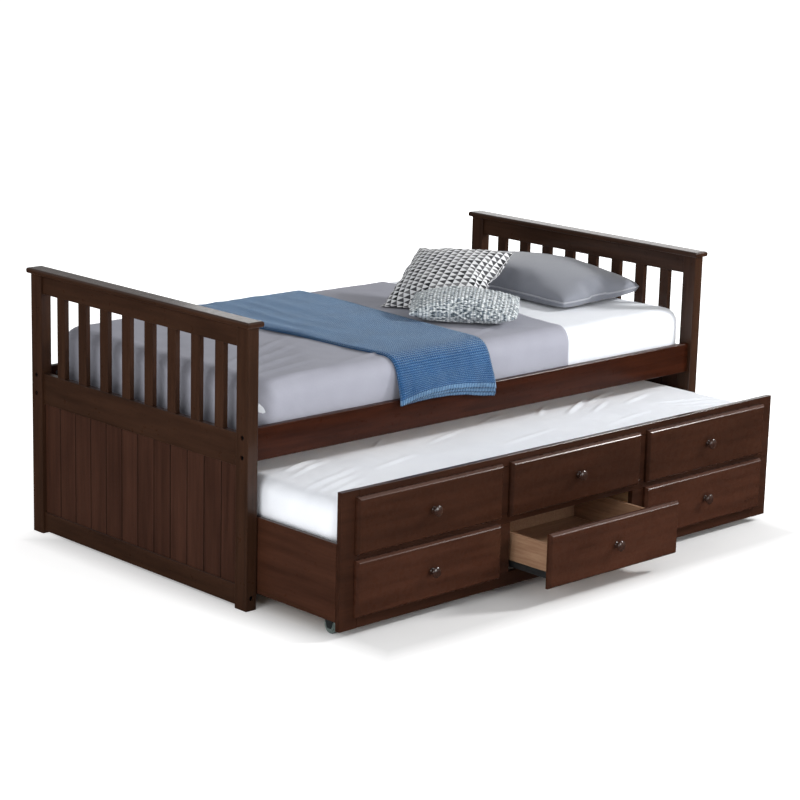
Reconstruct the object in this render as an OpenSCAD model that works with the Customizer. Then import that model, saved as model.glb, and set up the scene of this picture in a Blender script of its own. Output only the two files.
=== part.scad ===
// Captain's bed with a roll-out trundle. The trundle carries a second mattress and three drawers.
// Bed coordinates: X runs from foot to head, Y from the drawer side to the wall side, Z up.
// It is drawn with the trundle rolled part of the way out and the middle drawer ajar.

/* [Bed frame] */
// Length over the posts
bed_length = 2030; // [2025:1:2040]
// Width over the posts
bed_width = 1080; // [1075:1:1120]
// Height to the top of the caps
bed_height = 869; // [850:1:950]
// Post size along the bed
post_x = 40; // [38:1:44]
// Post size across the bed
post_y = 54; // [48:1:60]
// Thickness of the caps
cap_t = 18; // [14:1:24]
// Overhang of a cap at each side of its post
cap_lip = 10; // [6:1:14]

/* [End frames] */
// Thickness of the rails between the posts
end_rail_t = 22; // [18:1:28]
// Height of the top rail
top_rail_h = 62; // [50:1:75]
// Underside of the middle rail
middle_rail_z = 431; // [415:1:438]
// Height of the middle rail
middle_rail_h = 100; // [80:1:110]
// Underside of the bottom rail
bottom_rail_z = 7; // [5:1:12]
// Height of the bottom rail
bottom_rail_h = 63; // [50:1:75]
// Number of spindles in each end frame
spindle_count = 8; // [6:1:10]
// Width of a spindle
spindle_w = 41; // [34:1:46]
// Thickness of a spindle
spindle_t = 18; // [14:1:20]
// Number of boards in each panel
board_count = 12; // [8:1:14]
// Thickness of a panel
panel_t = 12; // [9:1:14]

/* [Side rails and slats] */
// Underside of the side rails
side_rail_z = 448; // [442:1:458]
// Height of the side rails
side_rail_h = 100; // [90:1:120]
// Thickness of the side rails
side_rail_t = 22; // [20:1:26]
// Setback of a side rail from the outer face of the posts
side_rail_setback = 14; // [10:1:16]
// Number of slats under the bed mattress
bed_slat_count = 13; // [10:1:14]
// Width of a slat
slat_w = 68; // [55:1:80]
// Thickness of a slat
slat_t = 15; // [12:1:18]

/* [Trundle] */
// How far the trundle is rolled out
trundle_out = 378; // [100:1:600]
// Face of the trundle behind the front of the posts, rolled in
trundle_face_y = 18.5; // [18:0.5:24]
// Gap between the trundle and the posts at each end
trundle_gap = 4; // [3:0.5:6]
// Underside of the trundle's face
face_z = 23; // [20:1:32]
// Top of the trundle's face
face_top = 435; // [430:1:437]
// Thickness of the face frame
face_t = 18; // [16:1:20]
// Thickness of the end panels
end_panel_t = 15; // [12:1:15]
// Underside of the end and back panels
end_panel_z = 48; // [46:1:50]
// Top of the end and back panels
end_panel_top = 282; // [274:1:289]
// Top of the trundle's slats
deck_z = 256; // [252:1:260]
// Number of slats in the trundle
trundle_slat_count = 11; // [8:1:13]

/* [Drawers] */
// How far the middle drawer is open
drawer_out = 166; // [20:1:280]
// Width left of the first front and right of the last
front_margin = 53; // [48:1:60]
// Gap between neighbouring fronts
front_gap = 38; // [30:1:44]
// Height of a front
front_h = 171; // [165:1:172]
// Thickness of a front
front_t = 18; // [16:1:18]
// Underside of the lower fronts
lower_front_z = 57; // [52:1:61]
// Underside of the upper fronts
upper_front_z = 244; // [242:1:246]
// Depth of a drawer box
box_depth = 400; // [340:1:440]
// Height of a drawer box
box_h = 104; // [90:1:112]
// Underside of a drawer box
box_z = 81; // [81:1:86]
// Thickness of a drawer side
box_t = 12; // [10:1:14]
// Diameter of a knob
knob_d = 34; // [28:1:38]
// Depth of a knob
knob_h = 27; // [22:1:30]

/* [Casters] */
// Radius of a wheel
wheel_r = 25; // [22:1:26]
// Width of a wheel
wheel_w = 18; // [14:1:20]
// Radius of an axle
axle_r = 4; // [3:0.5:5]

/* [Bedding] */
// Length of both mattresses
mattress_l = 1905; // [1890:1:1905]
// Width of both mattresses
mattress_w = 990; // [960:1:990]
// Thickness of the bed's mattress
mattress_t = 174; // [140:1:200]
// Thickness of the trundle's mattress
trundle_mattress_t = 142; // [110:1:150]
// Width of the folded throw
throw_w = 440; // [380:1:480]

/* [Hidden] */

espresso = [0.24, 0.15, 0.13];
red_brown = [0.30, 0.16, 0.12];
pale_wood = [0.80, 0.66, 0.50];
steel = [0.70, 0.71, 0.73];
black_steel = [0.12, 0.12, 0.13];
white_cloth = [0.93, 0.93, 0.94];

// Clearances: between solids of one body, round a joint's parts, and round a bolt
seam = 0.25;
play = 0.5;
bolt_play = 0.3;

// Levels and places that follow from the driving sizes
cap_z = bed_height - cap_t;
top_rail_z = cap_z - top_rail_h;
middle_rail_top = middle_rail_z + middle_rail_h;
bottom_rail_top = bottom_rail_z + bottom_rail_h;
post_gap = bed_width - 2 * post_y;
bed_inside = bed_length - 2 * post_x;
tenon_l = 12;
tenon_shoulder = 5;
groove_depth = 9;
panel_groove = 4;

// The spindles, evenly spaced between the posts
spindle_pitch = (post_gap + spindle_w) / (spindle_count + 1);
function spindle_y(i) = post_y - spindle_w / 2 + spindle_pitch * (i + 1);

// Side rail bolts: a socket head bolt through the post into a barrel nut in the rail
bolt_r = 4;
bolt_head_r = 6.5;
bolt_head_h = 5;
bolt_sink = 9;
barrel_r = 6;
barrel_l = 16;
barrel_depth = 34;
bolt_levels = [side_rail_z + 16, side_rail_z + 76];
side_rail_mid = side_rail_setback + side_rail_t / 2;
bottom_rail_mid = bottom_rail_z + bottom_rail_h / 2;
bottom_bolt_l = 84;

// Bed base
ledger = 22;
ledger_z = side_rail_z + 8;
bed_deck_z = ledger_z + ledger + slat_t;
side_inner_y = side_rail_setback + side_rail_t;
head_gap = 5;
mattress_x = bed_length - post_x - head_gap - mattress_l;
trundle_mattress_x = (bed_length - mattress_l) / 2;
mattress_y = (bed_width - mattress_w) / 2;
mattress_z = bed_deck_z + seam;
mattress_top = mattress_z + mattress_t;
cloth_gap = 0.6;
coverlet_t = 7;
coverlet_l = 1327;
coverlet_top = mattress_top + cloth_gap / 2 + coverlet_t;
throw_x = 585;
throw_t = 9;

// Trundle carcass, in bed coordinates with the trundle rolled in
trundle_x = post_x + trundle_gap;
trundle_l = bed_length - 2 * trundle_x;
carcass_y = trundle_face_y + face_t;
back_t = 14;
open_margin = 14;
back_y = carcass_y + mattress_w + 10;
stile_mid_w = front_gap + 2 * open_margin;
stile_end_w = front_margin + open_margin;
rail_top_h = 34;
rail_mid_h = 32;
rail_mid_z = upper_front_z - 20;
rail_low_h = lower_front_z + 9 - face_z;
inner_x = trundle_x + end_panel_t;
inner_l = trundle_l - 2 * end_panel_t;
trundle_ledger = 20;

// Fronts and drawers
front_w = (trundle_l - 2 * front_margin - 2 * front_gap) / 3;
front_pitch = front_w + front_gap;
front_lip = 3;
front_ease = 7;
function front_x(i) = trundle_x + front_margin + i * front_pitch;
function stile_x(i) = front_x(i) - front_gap / 2;
runner_space = 12.7;
box_inset = open_margin + runner_space;
box_w = front_w - 2 * box_inset;
box_bottom_z = box_z + 8;
box_bottom_t = 5;
box_groove = 6;
knob_z = lower_front_z + front_h / 2;
stud_r = 2.2;
stud_head_r = 5;
stud_head_h = 2.5;

// Runners: an angle on the drawer's lower edge slides on an angle screwed to the cleat
runner_l = box_depth - 20;
runner_t = 1.5;
runner_h = 24;
cleat_h = 44;
cleat_z = box_z - 9;
cleat_l = box_depth + 10;
divider_t = 16;

// Casters, fixed to the inside of the end panels
caster_front_y = 80;
caster_rear_y = back_y - 70;
bracket_t = 3;
bracket_w = 40;
bracket_top = end_panel_z + 22;
wheel_play = 1.5;
wheel_bore_play = 0.08;
wheel_side = (wheel_w + 2 * wheel_play) / 2;

// The middle of the whole part across the bed, from the open drawer's knob to the rear cap lips
knob_tip_y = trundle_face_y - play - front_t - knob_h - trundle_out - drawer_out;
mid_y = (knob_tip_y + bed_width + cap_lip) / 2;

// A rectangle with rounded corners, its lowest corner at the origin
function eased_rect(w, d, r, steps = 4) = [
  for (c = [[w - r, d - r, 0], [r, d - r, 90], [r, r, 180], [w - r, r, 270]])
    for (i = [0:steps]) [c.x + r * cos(c.z + 90 * i / steps), c.y + r * sin(c.z + 90 * i / steps)]];

module in_bed() { translate([-bed_length / 2, -mid_y, 0]) children(); }
module in_trundle() { in_bed() translate([0, -trundle_out, 0]) children(); }

// Mirrors what is drawn at the foot end to the head end
module at_head() { translate([bed_length, 0, 0]) mirror([1, 0, 0]) children(); }
module at_end(head) { if (head) at_head() children(); else children(); }

// Boards with eased long edges, lying along X, Y or Z
module board_x(size, ease = 2) {
  rotate([90, 0, 90]) linear_extrude(size.x) polygon(eased_rect(size.y, size.z, ease));
}
module board_y(size, ease = 2) {
  translate([0, size.y, 0]) rotate([90, 0, 0])
    linear_extrude(size.y) polygon(eased_rect(size.x, size.z, ease));
}
module board_z(size, ease = 2) { linear_extrude(size.z) polygon(eased_rect(size.x, size.y, ease)); }

// ---------- end frames ----------

// One post at the foot end's front corner, bored for two side rail bolts and a bottom rail bolt
module post() {
  difference() {
    board_z([post_x, post_y, cap_z], 3);
    for (z = bolt_levels) translate([0, side_rail_mid, z]) rotate([0, 90, 0]) {
      translate([0, 0, -1]) cylinder(r = bolt_head_r + 1, h = bolt_sink + 1, $fn = 48);
      translate([0, 0, -1]) cylinder(r = bolt_r + bolt_play, h = post_x + 2, $fn = 48);
    }
    translate([post_x / 2, 0, bottom_rail_mid]) rotate([-90, 0, 0]) {
      translate([0, 0, -1]) cylinder(r = bolt_head_r + 1, h = bolt_sink + 1, $fn = 48);
      translate([0, 0, -1]) cylinder(r = bolt_r + bolt_play, h = post_y + 2, $fn = 48);
    }
  }
}
module corner_post(head, rear) {
  color(espresso) in_bed() at_end(head)
    if (rear) translate([0, bed_width, 0]) mirror([0, 1, 0]) post(); else post();
}
module footboard_front_post() { corner_post(false, false); }
module footboard_rear_post() { corner_post(false, true); }
module headboard_front_post() { corner_post(true, false); }
module headboard_rear_post() { corner_post(true, true); }

// The cap board, its upper and lower edges rounded over
module cap(head) {
  ease = cap_t / 3;
  long = bed_width + 2 * cap_lip;
  color(espresso) in_bed() at_end(head) translate([-cap_lip, -cap_lip, cap_z]) hull()
    for (a = [0:22.5:90]) {
      inset = ease * (1 - cos(a));
      rise = ease * sin(a);
      translate([inset, inset, ease - rise])
        cube([post_x + 2 * cap_lip - 2 * inset, long - 2 * inset, cap_t - 2 * (ease - rise)]);
    }
}
module footboard_cap() { cap(false); }
module headboard_cap() { cap(true); }

module end_rail(z, h) {
  translate([(post_x - end_rail_t) / 2, post_y, z]) board_y([end_rail_t, post_gap, h]);
}
module spindle_mortises(z) {
  for (i = [0:spindle_count - 1])
    translate([(post_x - spindle_t) / 2 + tenon_shoulder - seam, spindle_y(i) - spindle_w / 2
               + tenon_shoulder - seam, z])
      cube([spindle_t - 2 * (tenon_shoulder - seam), spindle_w - 2 * (tenon_shoulder - seam),
            tenon_l + 2 * seam]);
}
module panel_slot(z) {
  translate([(post_x - panel_t) / 2 - seam, post_y - 1, z])
    cube([panel_t + 2 * seam, post_gap + 2, groove_depth]);
}

module top_rail(head) {
  color(espresso) in_bed() at_end(head) difference() {
    end_rail(top_rail_z, top_rail_h);
    spindle_mortises(top_rail_z - seam);
  }
}
module footboard_top_rail() { top_rail(false); }
module headboard_top_rail() { top_rail(true); }

// Spindles with a tenon at each end
module spindles(head) {
  color(espresso) in_bed() at_end(head) for (i = [0:spindle_count - 1])
    translate([(post_x - spindle_t) / 2, spindle_y(i) - spindle_w / 2, middle_rail_top]) {
      board_z([spindle_t, spindle_w, top_rail_z - middle_rail_top], 2.5);
      translate([tenon_shoulder, tenon_shoulder, -tenon_l])
        cube([spindle_t - 2 * tenon_shoulder, spindle_w - 2 * tenon_shoulder,
              top_rail_z - middle_rail_top + 2 * tenon_l]);
    }
}
module footboard_spindles() { spindles(false); }
module headboard_spindles() { spindles(true); }

module middle_rail(head) {
  color(espresso) in_bed() at_end(head) difference() {
    end_rail(middle_rail_z, middle_rail_h);
    spindle_mortises(middle_rail_top - tenon_l - seam);
    panel_slot(middle_rail_z - 1);
  }
}
module footboard_middle_rail() { middle_rail(false); }
module headboard_middle_rail() { middle_rail(true); }

// The panel of boards: grooved on both faces, its edges let into the rails
module panel(head) {
  pitch = post_gap / board_count;
  notch = panel_groove / 2;
  outer = [for (i = [1:board_count - 1])
             for (p = [[-notch, 0], [0, notch], [notch, 0]]) [p.y, i * pitch + p.x]];
  inner = [for (i = [board_count - 1:-1:1])
             for (p = [[notch, 0], [0, notch], [-notch, 0]]) [panel_t - p.y, i * pitch + p.x]];
  low = bottom_rail_top - groove_depth + 2;
  color(red_brown) in_bed() at_end(head)
    translate([(post_x - panel_t) / 2, post_y, low])
      linear_extrude(middle_rail_z + groove_depth - 3 - low)
        polygon(concat([[0, seam]], outer, [[0, post_gap - seam], [panel_t, post_gap - seam]], inner,
                       [[panel_t, seam]]));
}
module footboard_panel() { panel(false); }
module headboard_panel() { panel(true); }

module bottom_rail(head) {
  color(espresso) in_bed() at_end(head) difference() {
    end_rail(bottom_rail_z, bottom_rail_h);
    panel_slot(bottom_rail_top - groove_depth + 1);
    for (y = [post_y - 1, bed_width - post_y + 1 - (bottom_bolt_l - post_y + 2)])
      translate([post_x / 2, y, bottom_rail_mid]) rotate([-90, 0, 0])
        cylinder(r = bolt_r + bolt_play, h = bottom_bolt_l - post_y + 2, $fn = 48);
  }
}
module footboard_bottom_rail() { bottom_rail(false); }
module headboard_bottom_rail() { bottom_rail(true); }

// ---------- side rails, slats and bolts ----------

module side_rail() {
  difference() {
    translate([post_x, side_rail_setback, side_rail_z])
      board_x([bed_inside, side_rail_t, side_rail_h], 3);
    for (head = [false, true], z = bolt_levels) at_end(head)
      translate([post_x, side_rail_mid, z]) {
        translate([-1, 0, 0]) rotate([0, 90, 0])
          cylinder(r = bolt_r + bolt_play, h = barrel_depth + 16, $fn = 48);
        translate([barrel_depth, -side_rail_t / 2 + 3, 0]) rotate([-90, 0, 0])
          cylinder(r = barrel_r + bolt_play, h = side_rail_t, $fn = 48);
      }
  }
}
module front_side_rail() { color(red_brown) in_bed() side_rail(); }
module rear_side_rail() {
  color(red_brown) in_bed() translate([0, bed_width, 0]) mirror([0, 1, 0]) side_rail();
}

module slat_ledgers() {
  color(pale_wood) in_bed() for (y = [side_inner_y, bed_width - side_inner_y - ledger])
    translate([post_x + 20, y, ledger_z]) board_x([bed_inside - 40, ledger, ledger]);
}

module bed_slats() {
  span = bed_width - 2 * side_inner_y - 4;
  pitch = (bed_inside - slat_w - 60) / (bed_slat_count - 1);
  color(pale_wood) in_bed() for (i = [0:bed_slat_count - 1])
    translate([post_x + 30 + i * pitch, side_inner_y + 2, bed_deck_z - slat_t])
      board_y([slat_w, span, slat_t], 3);
}

// A socket head bolt lying along +Z, the top of its head at the origin
module socket_bolt(l) {
  difference() {
    union() {
      cylinder(r = bolt_head_r, h = bolt_head_h, $fn = 48);
      cylinder(r = bolt_r, h = l, $fn = 48);
    }
    translate([0, 0, -1]) cylinder(r = 2.9, h = 4, $fn = 6);
  }
}
module bolts_of_one_side() {
  for (head = [false, true]) at_end(head) {
    for (z = bolt_levels) translate([bolt_sink - bolt_head_h, side_rail_mid, z])
      rotate([0, 90, 0]) socket_bolt(post_x + barrel_depth + 10 - bolt_sink + bolt_head_h);
    translate([post_x / 2, bolt_sink - bolt_head_h, bottom_rail_mid]) rotate([-90, 0, 0])
      socket_bolt(bottom_bolt_l - bolt_sink);
  }
}
module frame_bolts() {
  color(black_steel) in_bed() {
    bolts_of_one_side();
    translate([0, bed_width, 0]) mirror([0, 1, 0]) bolts_of_one_side();
  }
}

module barrel_nuts() {
  color(steel) in_bed()
    for (rear = [false, true], head = [false, true], z = bolt_levels)
      translate([0, rear ? bed_width : 0, 0]) mirror([0, rear ? 1 : 0, 0]) at_end(head)
        translate([post_x + barrel_depth, side_rail_mid - barrel_l / 2 + 1, z]) difference() {
          rotate([-90, 0, 0]) cylinder(r = barrel_r, h = barrel_l, $fn = 48);
          translate([-barrel_r - 1, barrel_l / 2 - 1, 0]) rotate([0, 90, 0])
            cylinder(r = bolt_r + 0.1, h = 2 * barrel_r + 2, $fn = 48);
        }
}

// ---------- bedding ----------

module mattress(thick) {
  linear_extrude(thick) polygon(eased_rect(mattress_l, mattress_w, 38));
}
module bed_mattress() {
  color(white_cloth) in_bed() translate([mattress_x, mattress_y, mattress_z]) mattress(mattress_t);
}

// A coverlet over the foot end of the mattress, tucked in at the foot and both sides
module coverlet() {
  skirt_z = side_rail_z + side_rail_h - 45;
  snug = cloth_gap / 2;
  color([0.66, 0.66, 0.69]) in_bed() difference() {
    translate([mattress_x - coverlet_t - snug, mattress_y - coverlet_t - snug, skirt_z])
      cube([coverlet_l, mattress_w + 2 * (coverlet_t + snug), coverlet_top - skirt_z]);
    translate([mattress_x - snug, mattress_y - snug, skirt_z - 1])
      cube([coverlet_l, mattress_w + 2 * snug, mattress_top + snug - skirt_z + 1]);
  }
}

// The folded throw lies across the mattress and hangs over both side rails, further at the wall side
module throw() {
  rail_top = side_rail_z + side_rail_h;
  hem_z = rail_top - 30;
  rear_hem_z = rail_top - 200;
  out_y = side_rail_setback - 1;
  edge_y = mattress_y - coverlet_t;
  low = coverlet_top + cloth_gap;
  outer = [[edge_y + 6, low + throw_t], [edge_y - 13, low + 1], [edge_y - 17, low - 24],
           [out_y - throw_t - 1, rail_top + 6]];
  inner = [[edge_y - 2, low], [edge_y - 4, low - 34], [out_y, rail_top + 3]];
  function flipped(ps) = [for (p = ps) [bed_width - p.x, p.y]];
  function reversed(ps) = [for (i = [len(ps) - 1:-1:0]) ps[i]];
  color([0.22, 0.38, 0.60]) in_bed() translate([throw_x, 0, 0]) rotate([90, 0, 90])
    linear_extrude(throw_w) polygon(concat(
      outer, [[out_y - throw_t, hem_z], [out_y, hem_z]], reversed(inner),
      flipped(inner), flipped([[out_y, rear_hem_z], [out_y - throw_t, rear_hem_z]]),
      reversed(flipped(outer))));
}

// A plain cushion of width w, depth d and thickness t, lying flat about its middle
module cushion(w, d, t) {
  hull() {
    translate([-d / 2, -w / 2, -t / 8]) cube([d, w, t / 4]);
    translate([-d * 0.3, -w * 0.3, -t / 2]) cube([d * 0.6, w * 0.6, t]);
  }
}
module pillow() {
  color([0.45, 0.45, 0.48]) in_bed() translate([1795, 585, mattress_top + 75])
    rotate([0, -3, 1.5]) cushion(660, 385, 125);
}
module triangle_cushion() {
  color([0.75, 0.75, 0.76]) in_bed() translate([1328, 556, coverlet_top + 90])
    rotate([0, -26, 20]) cushion(360, 360, 76);
}
module knit_cushion() {
  color([0.60, 0.66, 0.65]) in_bed() translate([1192, 312, coverlet_top + 76])
    rotate([0, -15, 41]) cushion(350, 200, 92);
}

// ---------- trundle ----------

// Stiles and rails of the face frame, butted together
module trundle_face_frame() {
  color(espresso) in_trundle() translate([0, trundle_face_y, 0]) {
    for (x = [trundle_x, trundle_x + trundle_l - stile_end_w])
      translate([x, 0, face_z]) board_z([stile_end_w, face_t, face_top - face_z]);
    for (row = [[face_z, rail_low_h], [rail_mid_z, rail_mid_h], [face_top - rail_top_h, rail_top_h]])
      translate([trundle_x + stile_end_w + seam, 0, row.x])
        board_x([trundle_l - 2 * stile_end_w - 2 * seam, face_t, row.y]);
    for (i = [1, 2], row = [[face_z + rail_low_h, rail_mid_z],
                            [rail_mid_z + rail_mid_h, face_top - rail_top_h]])
      translate([stile_x(i) - stile_mid_w / 2, 0, row.x + seam])
        board_z([stile_mid_w, face_t, row.y - row.x - 2 * seam]);
  }
}

// A front with a small lip and a rounded-over edge, bored for the knob's stud
module drawer_front(i, z) {
  difference() {
    translate([front_x(i), trundle_face_y - play, z]) hull() {
      translate([0, -front_t + front_ease + front_lip, 0])
        cube([front_w, front_t - front_ease - front_lip, front_h]);
      for (a = [0:22.5:90]) {
        inset = front_lip + front_ease * (1 - cos(a));
        depth = front_t - front_ease + front_ease * sin(a);
        translate([inset, -depth, inset])
          cube([front_w - 2 * inset, depth, front_h - 2 * inset]);
      }
    }
    translate([front_x(i) + front_w / 2, trundle_face_y + 1, z + front_h / 2]) rotate([90, 0, 0])
      cylinder(r = stud_r + 0.2, h = front_t + 3, $fn = 48);
  }
}

// The outline of a turned knob: foot, cove, flare, rim and a low dome
function knob_outline() =
  let (r = knob_d / 2, foot = r * 0.6, stem = r * 0.42, rim = 4, dome = 3, foot_h = 1.5,
       cove_h = 7, stem_z = foot_h + cove_h, rim_z = knob_h - dome - rim, dome_r = r - rim / 2,
       drop = dome + rim * (1 - sin(60)))
  concat(
    [[0, 0], [foot, 0]],
    [for (a = [0:15:90]) [stem + (foot - stem) * (1 - sin(a)), foot_h + cove_h * (1 - cos(a))]],
    [for (a = [15:15:75]) [stem + (r - rim - stem) * (1 - cos(a)),
                           stem_z + (rim_z - rim - stem_z) * sin(a)]],
    [for (a = [-90:15:60]) [r - rim + rim * cos(a), rim_z + rim * sin(a)]],
    [for (k = [4:-1:0]) [dome_r * k / 5, knob_h - drop * pow(k / 5, 2)]]);

// A knob on its stud, the middle of its foot at the front's face
module knob(i, z, stud_l) {
  translate([front_x(i) + front_w / 2, trundle_face_y - play - front_t, z + front_h / 2])
    rotate([90, 0, 0]) {
      rotate_extrude($fn = 64) polygon(knob_outline());
      translate([0, 0, -stud_l]) cylinder(r = stud_r, h = stud_l + 1, $fn = 48);
      translate([0, 0, -stud_l - stud_head_h]) cylinder(r = stud_head_r, h = stud_head_h, $fn = 48);
    }
}

module false_front(i) { color(red_brown) in_trundle() drawer_front(i, upper_front_z); }
module false_front_left() { false_front(0); }
module false_front_middle() { false_front(1); }
module false_front_right() { false_front(2); }
module false_front_knobs() {
  color(espresso) in_trundle() for (i = [0:2]) knob(i, upper_front_z, front_t + play);
}

module trundle_end_panels() {
  color(espresso) in_trundle() for (x = [trundle_x, trundle_x + trundle_l - end_panel_t])
    translate([x, carcass_y, end_panel_z])
      board_y([end_panel_t, back_y - carcass_y, end_panel_top - end_panel_z]);
}
module trundle_back_panel() {
  color(espresso) in_trundle() translate([trundle_x, back_y, end_panel_z])
    board_x([trundle_l, back_t, end_panel_top - end_panel_z]);
}

// Two dividers between the drawers, and the cleats that pack the runners out to the drawers
module drawer_partitions() {
  color(pale_wood) in_trundle() {
    for (i = [1, 2]) translate([stile_x(i) - divider_t / 2, carcass_y, end_panel_z])
      board_y([divider_t, back_y - carcass_y, deck_z - slat_t - trundle_ledger - end_panel_z - 1]);
    for (i = [0:2], side = [0, 1]) {
      left_wall = i == 0 ? inner_x : stile_x(i) + divider_t / 2;
      right_wall = i == 2 ? inner_x + inner_l : stile_x(i + 1) - divider_t / 2;
      wall = side == 0 ? left_wall + seam : right_wall - seam;
      edge = front_x(i) + (side == 0 ? open_margin : front_w - open_margin);
      translate([min(wall, edge), carcass_y, cleat_z])
        board_y([abs(edge - wall), cleat_l, cleat_h], 1.5);
    }
  }
}

module trundle_ledgers() {
  color(pale_wood) in_trundle()
    for (y = [carcass_y, back_y - trundle_ledger])
      translate([inner_x, y, deck_z - slat_t - trundle_ledger])
        board_x([inner_l, trundle_ledger, trundle_ledger]);
}
module trundle_slats() {
  pitch = (inner_l - slat_w - 40) / (trundle_slat_count - 1);
  color(pale_wood) in_trundle() for (i = [0:trundle_slat_count - 1])
    translate([inner_x + 20 + i * pitch, carcass_y + 2, deck_z - slat_t])
      board_y([slat_w, back_y - carcass_y - 4, slat_t], 3);
}

// The fixed runners: an upright flange on the cleat, and a lip that the drawer's angle slides on
module cabinet_runners() {
  lip = runner_space + box_t / 2;
  color(steel) in_trundle() for (i = [0:2], side = [0, 1])
    translate([front_x(i) + front_w / 2, carcass_y + 2, box_z - 2 * runner_t - play - seam])
      mirror([side, 0, 0]) translate([-front_w / 2 + open_margin + seam, 0, 0]) {
        cube([runner_t, runner_l, runner_h]);
        cube([lip, runner_l, runner_t]);
      }
}

// A caster bracket: back plate on the end panel, web, two tapered ears and a riveted axle
module caster_bracket() {
  long = bracket_t * 2 + 2 * wheel_side;
  translate([0, -bracket_w / 2, 0]) {
    translate([0, 0, 2 * wheel_r + 3]) cube([bracket_t, bracket_w, bracket_top - 2 * wheel_r - 3]);
    translate([0, 0, 2 * wheel_r + 3]) cube([long, bracket_w, bracket_t]);
    for (x = [0, long - bracket_t]) hull() {
      translate([x, 0, 2 * wheel_r + 3]) cube([bracket_t, bracket_w, bracket_t]);
      translate([x, bracket_w / 2 - 8, wheel_r - 8]) cube([bracket_t, 16, 8]);
    }
  }
  translate([0, 0, wheel_r]) rotate([0, 90, 0]) {
    cylinder(r = axle_r, h = long + 1, $fn = 48);
    translate([0, 0, long]) cylinder(r = axle_r + 2, h = 2, $fn = 48);
  }
}
module at_caster(head, rear) {
  in_trundle() at_end(head) translate([inner_x, rear ? caster_rear_y : caster_front_y, 0])
    children();
}
module caster_brackets() {
  color(steel) for (head = [false, true], rear = [false, true]) at_caster(head, rear)
    caster_bracket();
}
module wheel(head, rear) {
  shoulder = 3;
  half = wheel_w / 2;
  color([0.33, 0.38, 0.37]) at_caster(head, rear)
    translate([bracket_t + wheel_side, 0, wheel_r]) rotate([0, 90, 0])
      rotate_extrude($fn = 96) polygon(concat(
        [[axle_r + wheel_bore_play, -half], [wheel_r - 8, -half], [wheel_r - 7, -half + 2],
         [wheel_r - shoulder, -half + 1]],
        [for (a = [-90:22.5:90]) [wheel_r - shoulder + shoulder * cos(a),
                                  (half - 1 - shoulder) * (a < 0 ? -1 : 1) + shoulder * sin(a)]],
        [[wheel_r - shoulder, half - 1], [wheel_r - 7, half - 2], [wheel_r - 8, half],
         [axle_r + wheel_bore_play, half]]));
}
module wheel_foot_front() { wheel(false, false); }
module wheel_foot_rear() { wheel(false, true); }
module wheel_head_front() { wheel(true, false); }
module wheel_head_rear() { wheel(true, true); }

module trundle_mattress() {
  color(white_cloth) in_trundle()
    translate([trundle_mattress_x, carcass_y + 5, deck_z + seam]) mattress(trundle_mattress_t);
}

// ---------- drawers ----------

module in_drawer(i) { in_trundle() translate([0, i == 1 ? -drawer_out : 0, 0]) children(); }

// Sides and back: three boards, the sides grooved for the bottom
module drawer_box(i) {
  front_y = trundle_face_y - play;
  back_w = box_w - 2 * box_t - 2 * seam;
  color(pale_wood) in_drawer(i) translate([front_x(i) + box_inset, front_y, box_z]) {
    for (side = [0, 1]) translate([side * box_w, 0, 0]) mirror([side, 0, 0]) difference() {
      board_y([box_t, box_depth, box_h], 1.5);
      translate([box_t - box_groove, -1, box_bottom_z - box_z])
        cube([box_groove + 1, box_depth + 2, box_bottom_t + 2 * seam]);
    }
    translate([box_t + seam, box_depth - box_t, box_bottom_z - box_z + box_bottom_t + 2 * seam])
      board_x([back_w, box_t, box_h - (box_bottom_z - box_z) - box_bottom_t - 2 * seam], 1.5);
  }
}
module drawer_bottom(i) {
  slack = 1;
  color(pale_wood) in_drawer(i)
    translate([front_x(i) + box_inset + box_t - box_groove + slack, trundle_face_y - play,
               box_bottom_z + seam])
      cube([box_w - 2 * box_t + 2 * box_groove - 2 * slack, box_depth - slack, box_bottom_t]);
}
// Angles wrapped round the lower edges of the drawer's sides
module drawer_runners(i) {
  color(steel) in_drawer(i) for (side = [0, 1])
    translate([front_x(i) + front_w / 2, trundle_face_y + 1, box_z - runner_t - seam])
      mirror([side, 0, 0]) translate([-box_w / 2 - runner_t - seam, 0, 0]) {
        cube([runner_t, runner_l, runner_h - 4]);
        cube([box_t + runner_t + seam, runner_l, runner_t]);
      }
}
module drawer_knob(i) {
  color(espresso) in_drawer(i) knob(i, lower_front_z, front_t);
}
module lower_front(i) { color(red_brown) in_drawer(i) drawer_front(i, lower_front_z); }

module drawer_left_front() { lower_front(0); }
module drawer_left_knob() { drawer_knob(0); }
module drawer_left_box() { drawer_box(0); }
module drawer_left_bottom() { drawer_bottom(0); }
module drawer_left_runners() { drawer_runners(0); }
module drawer_middle_front() { lower_front(1); }
module drawer_middle_knob() { drawer_knob(1); }
module drawer_middle_box() { drawer_box(1); }
module drawer_middle_bottom() { drawer_bottom(1); }
module drawer_middle_runners() { drawer_runners(1); }
module drawer_right_front() { lower_front(2); }
module drawer_right_knob() { drawer_knob(2); }
module drawer_right_box() { drawer_box(2); }
module drawer_right_bottom() { drawer_bottom(2); }
module drawer_right_runners() { drawer_runners(2); }

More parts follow.
